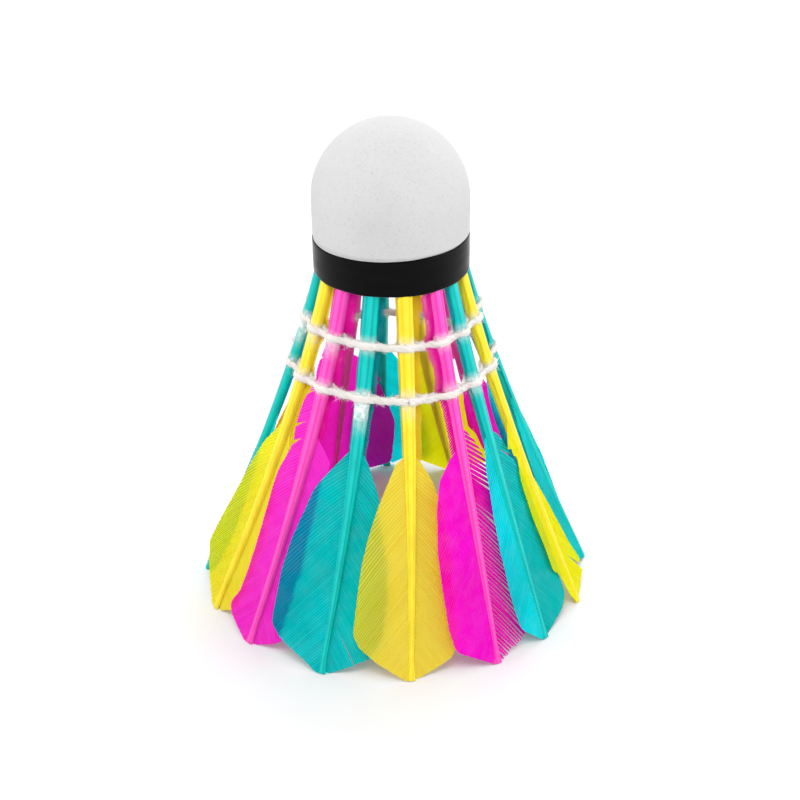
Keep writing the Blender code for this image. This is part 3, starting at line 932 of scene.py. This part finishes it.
def resampled(path, spacing):
    """Points evenly spaced along a closed path."""
    loop = np.concatenate([path, path[:1]])
    steps = np.linalg.norm(np.diff(loop, axis=0), axis=1)
    length = np.concatenate([[0], np.cumsum(steps)])
    count = int(length[-1] / spacing)
    at = np.arange(count) / count * length[-1]
    return np.stack([np.interp(at, length, loop[:, axis]) for axis in range(3)], -1), length[-1]


def add_thread(row, side_name, lines, rng):
    t = row_t(row)
    path, length = resampled(run_path(lines, t, side_name == "outer"), YARN_SPACING)
    along = unit(np.roll(path, -1, 0) - np.roll(path, 1, 0))
    outward = unit(path * np.array([1.0, 1.0, 0.0]))
    up = np.cross(along, outward)
    turns = round(length / YARN_PITCH)
    phase = np.arange(len(path)) / len(path) * 2 * math.pi * turns
    points, faces, start = [], [], 0
    for ply in range(YARN_PLIES):
        angle = phase + ply * 2 * math.pi / YARN_PLIES
        uneven = [noise.noise(Vector((k * 0.11, ply * 7.0, t * 50))) for k in range(len(path))]
        wobble = 1 + 0.16 * np.array(uneven)
        round_path = outward * YARN_FLATNESS * np.cos(angle)[:, None] + up * np.sin(angle)[:, None]
        centre = path + YARN_TWIST_RADIUS * round_path
        rings = swept_rings(centre, YARN_RADIUS * wobble, YARN_SIDES, closed=True)
        flat = ((rings - path[:, None]) * outward[:, None]).sum(-1, keepdims=True)
        rings = rings - outward[:, None] * flat * (1 - YARN_FLATNESS)
        rough = rng.normal(0, YARN_ROUGHNESS, rings.shape[:2] + (1,))
        rings = rings + unit(rings - centre[:, None]) * rough
        points.append(rings.reshape(-1, 3))
        faces += tube_faces(len(path), YARN_SIDES, closed=True, start=start)
        start += len(path) * YARN_SIDES
    for _ in range(FUZZ_PER_RUN):
        k = rng.integers(len(path))
        angle = rng.uniform(0, 2 * math.pi)
        out = outward[k] * math.cos(angle) * YARN_FLATNESS + up[k] * math.sin(angle)
        base = path[k] + out * (YARN_TWIST_RADIUS + YARN_RADIUS * 0.7)
        way = unit(along[k] * rng.normal(0, 1.0) + out * rng.uniform(0.2, 0.8) + rng.normal(0, 0.35, 3))
        bend = rng.normal(0, 0.5, 3) - out * 0.6
        size = rng.uniform(0.4, 1.3) * MM
        s = np.linspace(0, 1, HAIR_STATIONS)[:, None]
        hair = base + way * s * size + bend * (s * size) ** 2 / (1.6 * MM)
        rings = swept_rings(hair, HAIR_RADIUS * (1.15 - s[:, 0]), HAIR_SIDES)
        points.append(rings.reshape(-1, 3))
        faces += tube_faces(HAIR_STATIONS, HAIR_SIDES, start=start)
        start += HAIR_STATIONS * HAIR_SIDES
    node = f"thread_{row}_{side_name}"
    points = np.concatenate(points)
    obj = new_mesh_object(node + "_yarn", points, faces, MATERIALS["thread"], smooth_under=80)
    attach(obj, "root")
    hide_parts(node)


def add_glue(row, lines, rng):
    """Dried glue that holds the thread: thin uneven sleeves on the shafts."""
    t_row = row_t(row)
    points, faces, cover, start = [], [], [], 0
    angles = np.arange(GLUE_SIDES) * 2 * math.pi / GLUE_SIDES
    x, y = shaft_section(GLUE_SIDES)
    for number, line in enumerate(lines, 1):
        above = rng.uniform(0.02, 0.035)
        drop = rng.uniform(0.02, 0.045) if rng.uniform() < 0.7 else rng.uniform(0.05, 0.08)
        thickly = (row, number) in RUNS_OF_GLUE
        below = RUN_OF_GLUE_LENGTH if thickly else drop
        share = np.linspace(0, 1, GLUE_RINGS)
        t = t_row - above + (above + below) * share
        thick = 0.06 * MM + 0.16 * MM * np.exp(-((t - t_row) / 0.012) ** 2)
        patch = line.foot_turn * 9 + t_row * 30
        rough = np.array([[noise.noise(Vector((angle * 2.2, ring * 0.7, patch))) for angle in angles]
                          for ring in range(GLUE_RINGS)])
        grow = thick[:, None] * (1 + 0.6 * rough) + 0.015 * MM
        across = (half_width(t)[:, None] + grow) * x[None, :]
        depth = (half_depth(t)[:, None] + grow) * y[None, :]
        points.append(shaft_rings(line, t, across, depth).reshape(-1, 3))
        sleeve = tube_faces(GLUE_RINGS, GLUE_SIDES, start=start, capped=False)
        faces += [face[::-1] for face in sleeve]
        start += GLUE_RINGS * GLUE_SIDES
        fade = np.minimum(np.clip((t - t[0]) / above, 0, 1), np.clip((t[-1] - t) / below, 0, 1))[:, None]
        strength = rng.uniform(0.5, 0.9) * (2.0 if thickly else 1.0)
        covered = np.clip(fade**1.6 * (1.1 + 0.9 * rough) * strength, 0, 0.95)
        cover.append(covered.reshape(-1))
    obj = new_mesh_object(f"glue_{row}", np.concatenate(points), faces, MATERIALS["glue"], smooth_under=80)
    add_attribute(obj, "cover", np.concatenate(cover))
    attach(obj, "root")


# ---- head and band


def turned_points(profile, steps):
    angles = np.arange(steps) * 2 * math.pi / steps
    profile = np.array(profile)
    return np.stack([profile[:, None, 0] * np.cos(angles), profile[:, None, 0] * np.sin(angles),
                     np.broadcast_to(profile[:, 1:2], (len(profile), steps))], -1)


def add_head():
    low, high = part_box("foam_head")
    radius = (high.x - low.x) / 2
    band_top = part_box("band_tape")[1].z
    dome = high.z - radius
    profile = [(1e-5, high.z)]
    for angle in np.linspace(0.02, math.pi / 2, 70):
        profile.append((radius * math.sin(angle), dome + radius * math.cos(angle)))
    profile += [(radius, dome + (band_top - dome) * s) for s in np.linspace(0.03, 0.97, 40)]
    # Under the tape the head is a little narrower, down to its rear face.
    seat = radius - 0.32 * MM
    rim = seat - 0.2 * MM
    profile += [
        (radius - 0.12 * MM, band_top + 0.02 * MM),
        (radius - 0.14 * MM, band_top - TAPE_TILT - 0.2 * MM),
        (seat, band_top - TAPE_TILT - 0.3 * MM),
        (seat, low.z + 0.2 * MM),
        (rim, low.z),
    ]
    profile += [(rim * s, low.z) for s in (0.9, 0.75, 0.6, 0.45, 0.3, 0.15)]
    profile.append((1e-5, low.z))
    flat = turned_points(profile, HEAD_STEPS).reshape(-1, 3)
    for k, point in enumerate(flat):
        grain = noise.fractal(Vector(point) * 900, 0.8, 2.0, 3) * 0.02 * MM
        swell = noise.noise(Vector(point) * 130) * 0.05 * MM
        away = Vector((point[0], point[1], max(point[2] - dome, 0.0)))
        if away.length > 0 and point[2] > band_top:
            flat[k] = Vector(point) + away.normalized() * (grain + swell)
    # The profile runs from the top down the outside, so the ring order is turned round.
    faces = [face[::-1] for face in tube_faces(len(profile), HEAD_STEPS)]
    obj = new_mesh_object("foam_head_skin", flat, faces, MATERIALS["foam"], smooth_under=40)
    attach(obj, "root")
    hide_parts("foam_head")


def round_noise(angle, scale, layer):
    """Smooth noise that closes up round a circle."""
    return noise.noise(Vector((math.cos(angle) * scale, math.sin(angle) * scale, layer)))


def add_band():
    """A strip of tape wound once round the head, whose end overlaps its start at the back."""
    low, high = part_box("band_tape")
    outer = (high.x - low.x) / 2
    inner = outer - 0.3 * MM
    rings = []
    for turn in np.linspace(0, 2 * math.pi + BAND_LAP, BAND_STEPS):
        angle = BAND_START_TURN + turn
        ramp = np.clip((turn - 2 * math.pi + 0.03) / 0.05, 0, 1)
        step = (0.02 + 0.13 * ramp) * MM
        wave = 0.05 * MM * round_noise(angle, 2.2, 0.5)
        bottom = low.z + 0.02 * MM + 0.12 * MM * round_noise(angle, 2.6, 4.0)
        top = high.z - TAPE_TILT * (1 - math.cos(angle)) / 2
        top += 0.05 * MM * round_noise(angle, 3.1, 9.0)
        out = outer - 0.06 * MM + step + wave
        base = inner + step * 0.7
        section = [(base, bottom), (out - 0.16 * MM, bottom), (out - 0.03 * MM, bottom + 0.12 * MM),
                   (out, bottom + 0.5 * MM), (out + 0.02 * MM, (bottom + top) / 2), (out, top - 0.4 * MM),
                   (out - 0.03 * MM, top - 0.08 * MM), (out - 0.1 * MM, top), (base, top)]
        rings.append([(r * math.cos(angle), r * math.sin(angle), z) for r, z in section])
    faces = [face[::-1] for face in tube_faces(BAND_STEPS, len(rings[0]))]
    obj = new_mesh_object("band_tape_wrap", np.array(rings), faces, MATERIALS["tape"], smooth_under=50)
    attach(obj, "root")
    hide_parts("band_tape")


# ---- studio


def add_floor():
    mesh = bpy.data.meshes.new("studio_floor")
    signs = ((-1, -1), (1, -1), (1, 1), (-1, 1))
    corners = [(x * FLOOR_HALF_SIZE, y * FLOOR_HALF_SIZE, 0) for x, y in signs]
    mesh.from_pydata(corners, [], [(0, 1, 2, 3)])
    mesh.materials.append(floor_material())
    floor = bpy.data.objects.new("studio_floor", mesh)
    floor.location.z = -FLOOR_DROP
    bpy.context.scene.collection.objects.link(floor)


def add_area_light(name, place, target, size, power):
    data = bpy.data.lights.new(name, "AREA")
    data.shape = "DISK"
    data.size = size
    data.energy = power
    light = bpy.data.objects.new(name, data)
    light.location = place
    light.rotation_euler = (Vector(target) - Vector(place)).to_track_quat("-Z", "Y").to_euler()
    bpy.context.scene.collection.objects.link(light)


def light_studio():
    """White surroundings, darker on the camera's side, and four soft lamps."""
    world = bpy.data.worlds.new("studio_light")
    world.use_nodes = True
    tree = world.node_tree
    background = tree.nodes["Background"]
    facing = tree.nodes.new("ShaderNodeVectorMath")
    facing.operation = "DOT_PRODUCT"
    facing.inputs[1].default_value = CAMERA_SIDE
    level = tree.nodes.new("ShaderNodeMapRange")
    level.inputs["From Min"].default_value = 0.35
    level.inputs["From Max"].default_value = 0.95
    level.inputs["To Min"].default_value = STUDIO_LEVEL
    level.inputs["To Max"].default_value = CAMERA_SIDE_LEVEL
    direction = tree.nodes.new("ShaderNodeTexCoord")
    parts = tree.nodes.new("ShaderNodeSeparateXYZ")
    raised = tree.nodes.new("ShaderNodeMapRange")
    raised.inputs["From Max"].default_value = HORIZON_REACH
    mixed = tree.nodes.new("ShaderNodeMix")
    mixed.inputs["A"].default_value = STUDIO_LEVEL
    tree.links.new(direction.outputs["Generated"], facing.inputs[0])
    tree.links.new(direction.outputs["Generated"], parts.inputs[0])
    tree.links.new(facing.outputs["Value"], level.inputs["Value"])
    tree.links.new(parts.outputs["Z"], raised.inputs["Value"])
    tree.links.new(raised.outputs["Result"], mixed.inputs["Factor"])
    tree.links.new(level.outputs["Result"], mixed.inputs["B"])
    tree.links.new(mixed.outputs["Result"], background.inputs["Strength"])
    background.inputs["Color"].default_value = (1.0, 1.0, 1.0, 1.0)
    bpy.context.scene.world = world
    for lamp in LAMPS:
        add_area_light(*lamp)
    bpy.context.scene.view_settings.view_transform = "Standard"


def add_camera():
    """A view from the front, about 28.5 degrees above the horizon."""
    data = bpy.data.cameras.new("view")
    data.sensor_width = 36.0
    data.lens = CAMERA_LENS
    data.clip_start = 0.01
    data.clip_end = 20.0
    camera = bpy.data.objects.new("view", data)
    aim = (CAMERA_TARGET - CAMERA_PLACE).to_track_quat("-Z", "Y").to_matrix()
    turn = aim @ Matrix.Rotation(CAMERA_ROLL, 3, "Z")
    camera.location = CAMERA_PLACE
    camera.rotation_mode = "QUATERNION"
    camera.rotation_quaternion = turn.to_quaternion()
    bpy.context.scene.collection.objects.link(camera)
    bpy.context.scene.camera = camera


# ---- assembly


MATERIALS = {
    "foam": foam_material(),
    "tape": tape_material(),
    "thread": thread_material(),
    "glue": glue_material(),
}
for dye_name in DYES:
    MATERIALS[dye_name, "shaft"] = shaft_material(dye_name)
    for under_name in DYES:
        MATERIALS[dye_name, under_name] = vane_material(dye_name, under_name)


def main():
    lines = [ShaftLine(f"feather_{number:02d}_shaft") for number in range(1, FEATHER_COUNT + 1)]
    for number, line in enumerate(lines, 1):
        rng = np.random.default_rng(SEED * 100 + number)
        add_shaft(line, number)
        add_vane(lines, number, LEFT, rng)
        add_vane(lines, number, RIGHT, rng)
    for row in ROWS:
        for side_name in ("outer", "inner"):
            add_thread(row, side_name, lines, np.random.default_rng(SEED + len(row + side_name)))
        add_glue(row, lines, np.random.default_rng(SEED + ord(row[0])))
    add_head()
    add_band()
    add_floor()
    light_studio()
    add_camera()


main()
